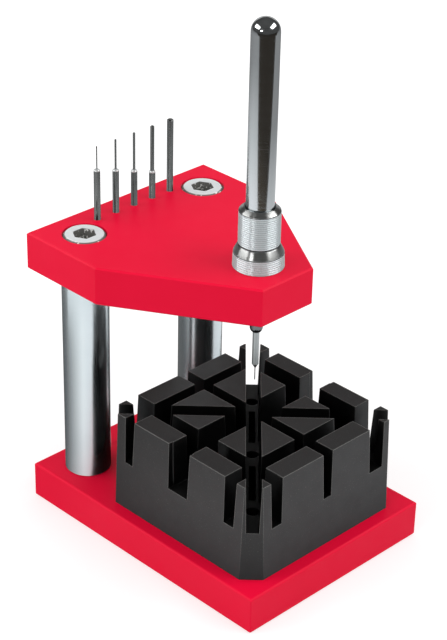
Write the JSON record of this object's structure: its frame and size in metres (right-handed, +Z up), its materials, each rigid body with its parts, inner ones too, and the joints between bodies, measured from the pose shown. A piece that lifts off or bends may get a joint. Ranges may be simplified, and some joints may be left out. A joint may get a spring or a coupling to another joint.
{
  "type": "watch bracelet pin press",
  "caption": "Column press for watch bracelet pins: a sprung, hand-driven rod with a thin punch over a loose slotted block, spare punches standing in the top plate.",
  "frame": {"origin": "centre of the base plate's underside, on the plane that the press stands on", "axes": "+Z up along the columns and the rod; +Y towards the columns at the back; -Y is the open front; +X to the user's right, seen from the front"},
  "size_m": [0.09, 0.12, 0.2093],
  "materials": {
    "red_paint": "smooth semi-gloss powder coat",
    "polished_steel": "ground and polished",
    "turned_steel": "fine turned rings, polished cones",
    "plated_screw": "satin plated",
    "punch_steel": "hardened, dark satin",
    "spring_steel": "bright drawn wire",
    "black_steel": "blackened",
    "black_plastic": "fine matt moulding grain"
  },
  "bodies": {
    "frame": {"base_plate": "red_paint", "top_plate": "red_paint", "left_column": "polished_steel", "right_column": "polished_steel", "left_top_screw": "plated_screw", "right_top_screw": "plated_screw", "left_base_screw": "plated_screw", "right_base_screw": "plated_screw", "guide_bush": "turned_steel", "return_spring": "spring_steel"},
    "plunger": {"plunger_rod": "polished_steel", "stop_ring": "black_steel", "spring_washer": "plated_screw", "clamp_screw": "black_steel"},
    "mounted_punch": {"mounted_punch": "punch_steel"},
    "bracelet_block": {"bracelet_block": "black_plastic"},
    "spare_punch_1": {"spare_punch_1": "punch_steel"},
    "spare_punch_2": {"spare_punch_2": "punch_steel"},
    "spare_punch_3": {"spare_punch_3": "punch_steel"},
    "spare_punch_4": {"spare_punch_4": "punch_steel"},
    "spare_punch_5": {"spare_punch_5": "punch_steel"}
  },
  "joints": [
    {"name": "plunger_slide", "type": "slide", "parent": "frame", "child": "plunger", "axis": [0, 0, -1], "range_m": [0, 0.02], "stiffness_N_per_m": 700, "springref_m": -0.008, "deforming": ["return_spring"]},
    {"name": "punch_release", "type": "slide", "parent": "plunger", "child": "mounted_punch", "axis": [0, 0, -1], "range_m": [0, 0.021]},
    {"name": "block_slide", "type": "slide", "parent": "frame", "child": "bracelet_block", "axis": [0, -1, 0], "range_m": [0, 0.09]},
    {"name": "spare_punch_1_lift", "type": "slide", "parent": "frame", "child": "spare_punch_1", "axis": [0, 0, 1], "range_m": [0, 0.012]},
    {"name": "spare_punch_2_lift", "type": "slide", "parent": "frame", "child": "spare_punch_2", "axis": [0, 0, 1], "range_m": [0, 0.012]},
    {"name": "spare_punch_3_lift", "type": "slide", "parent": "frame", "child": "spare_punch_3", "axis": [0, 0, 1], "range_m": [0, 0.012]},
    {"name": "spare_punch_4_lift", "type": "slide", "parent": "frame", "child": "spare_punch_4", "axis": [0, 0, 1], "range_m": [0, 0.012]},
    {"name": "spare_punch_5_lift", "type": "slide", "parent": "frame", "child": "spare_punch_5", "axis": [0, 0, 1], "range_m": [0, 0.012]}
  ]
}
